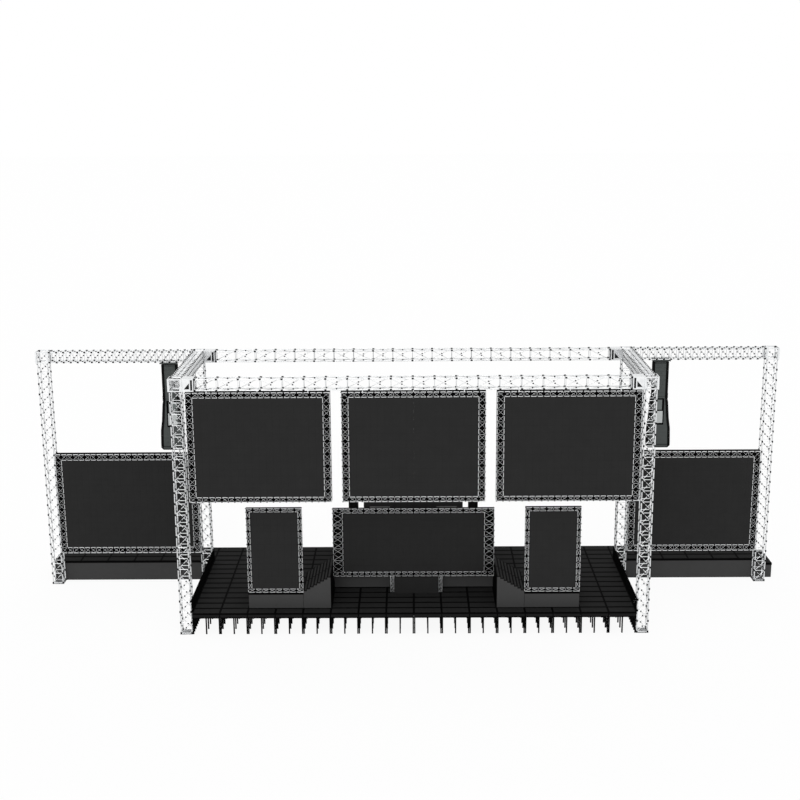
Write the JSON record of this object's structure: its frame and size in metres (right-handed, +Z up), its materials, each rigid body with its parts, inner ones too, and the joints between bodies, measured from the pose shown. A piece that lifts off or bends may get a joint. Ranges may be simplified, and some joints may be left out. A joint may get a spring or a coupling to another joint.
{
  "type": "stage roof truss system",
  "caption": "Open-air stage: lattice towers, a lifting roof ring of box trusses with wings, framed LED screens, decks, risers, stairs and hung speaker columns.",
  "frame": {"origin": "on the ground below the middle of the whole", "axes": "+X to the viewer's right along the front, +Y away from the viewer, +Z up"},
  "size_m": [57.641, 14.0504, 18.9],
  "materials": {
    "truss_aluminium": "satin, mill finish",
    "deck_black": "matt black coated plywood",
    "steel_black": "satin black paint",
    "led_face": "matt",
    "fascia_grey": "matt dark grey paint",
    "set_dark": "matt near-black paint",
    "speaker_grey": "matt textured paint"
  },
  "bodies": {
    "stage": {"tower_front_left": "truss_aluminium", "tower_front_right": "truss_aluminium", "tower_rear_left": "truss_aluminium", "tower_rear_right": "truss_aluminium", "tower_outer_left": "truss_aluminium", "tower_outer_right": "truss_aluminium", "wing_frame_left": "truss_aluminium", "wing_frame_right": "truss_aluminium", "wing_screen_left": "led_face", "wing_screen_right": "led_face", "portrait_frame_left": "truss_aluminium", "portrait_frame_right": "truss_aluminium", "portrait_screen_left": "led_face", "portrait_screen_right": "led_face", "centre_frame": "truss_aluminium", "centre_screen": "led_face", "screen_plinth": "set_dark", "main_deck": "deck_black", "deck_leg_row_1": "steel_black", "deck_leg_row_2": "steel_black", "deck_leg_row_3": "steel_black", "deck_leg_row_4": "steel_black", "guard_rail_left": "steel_black", "guard_rail_right": "steel_black", "riser_left": "fascia_grey", "riser_right": "fascia_grey", "stairs_left": "fascia_grey", "stairs_right": "fascia_grey", "centre_platform": "fascia_grey", "wing_deck_left": "fascia_grey", "wing_deck_right": "fascia_grey", "wing_end_step": "fascia_grey", "set_wall": "set_dark", "set_cabinet_left": "set_dark", "set_cabinet_right": "set_dark"},
    "roof": {"sleeve_block_front_left": "truss_aluminium", "sleeve_block_front_right": "truss_aluminium", "sleeve_block_rear_left": "truss_aluminium", "sleeve_block_rear_right": "truss_aluminium", "sleeve_block_outer_left": "truss_aluminium", "sleeve_block_outer_right": "truss_aluminium", "roof_beam_front": "truss_aluminium", "roof_beam_rear": "truss_aluminium", "roof_beam_side_left": "truss_aluminium", "roof_beam_side_right": "truss_aluminium", "wing_beam_left": "truss_aluminium", "wing_beam_right": "truss_aluminium", "hung_frame_left": "truss_aluminium", "hung_frame_centre": "truss_aluminium", "hung_frame_right": "truss_aluminium", "hung_screen_left": "led_face", "hung_screen_centre": "led_face", "hung_screen_right": "led_face", "array_fly_bar_left": "steel_black", "array_fly_bar_right": "steel_black"},
    "upper_array_left": {"array_upper_left": "speaker_grey"},
    "upper_array_right": {"array_upper_right": "speaker_grey"},
    "lower_array_left": {"array_lower_left": "speaker_grey"},
    "lower_array_right": {"array_lower_right": "speaker_grey"}
  },
  "joints": [
    {"name": "roof_lift", "type": "slide", "parent": "stage", "child": "roof", "axis": [0, 0, 1], "range_m": [-7, 0]},
    {"name": "array_tilt_left", "type": "hinge", "parent": "roof", "child": "upper_array_left", "pos_m": [-18.6648, 3.9952, 17.83], "axis": [1, 0, 0], "range_deg": [0, 4]},
    {"name": "array_tilt_right", "type": "hinge", "parent": "roof", "child": "upper_array_right", "pos_m": [19.2352, 3.9952, 17.83], "axis": [1, 0, 0], "range_deg": [0, 4]},
    {"name": "array_splay_left", "type": "hinge", "parent": "upper_array_left", "child": "lower_array_left", "pos_m": [-18.6648, 3.7052, 14.93], "axis": [1, 0, 0], "range_deg": [0, 5]},
    {"name": "array_splay_right", "type": "hinge", "parent": "upper_array_right", "child": "lower_array_right", "pos_m": [19.2352, 3.7052, 14.93], "axis": [1, 0, 0], "range_deg": [0, 5]}
  ]
}
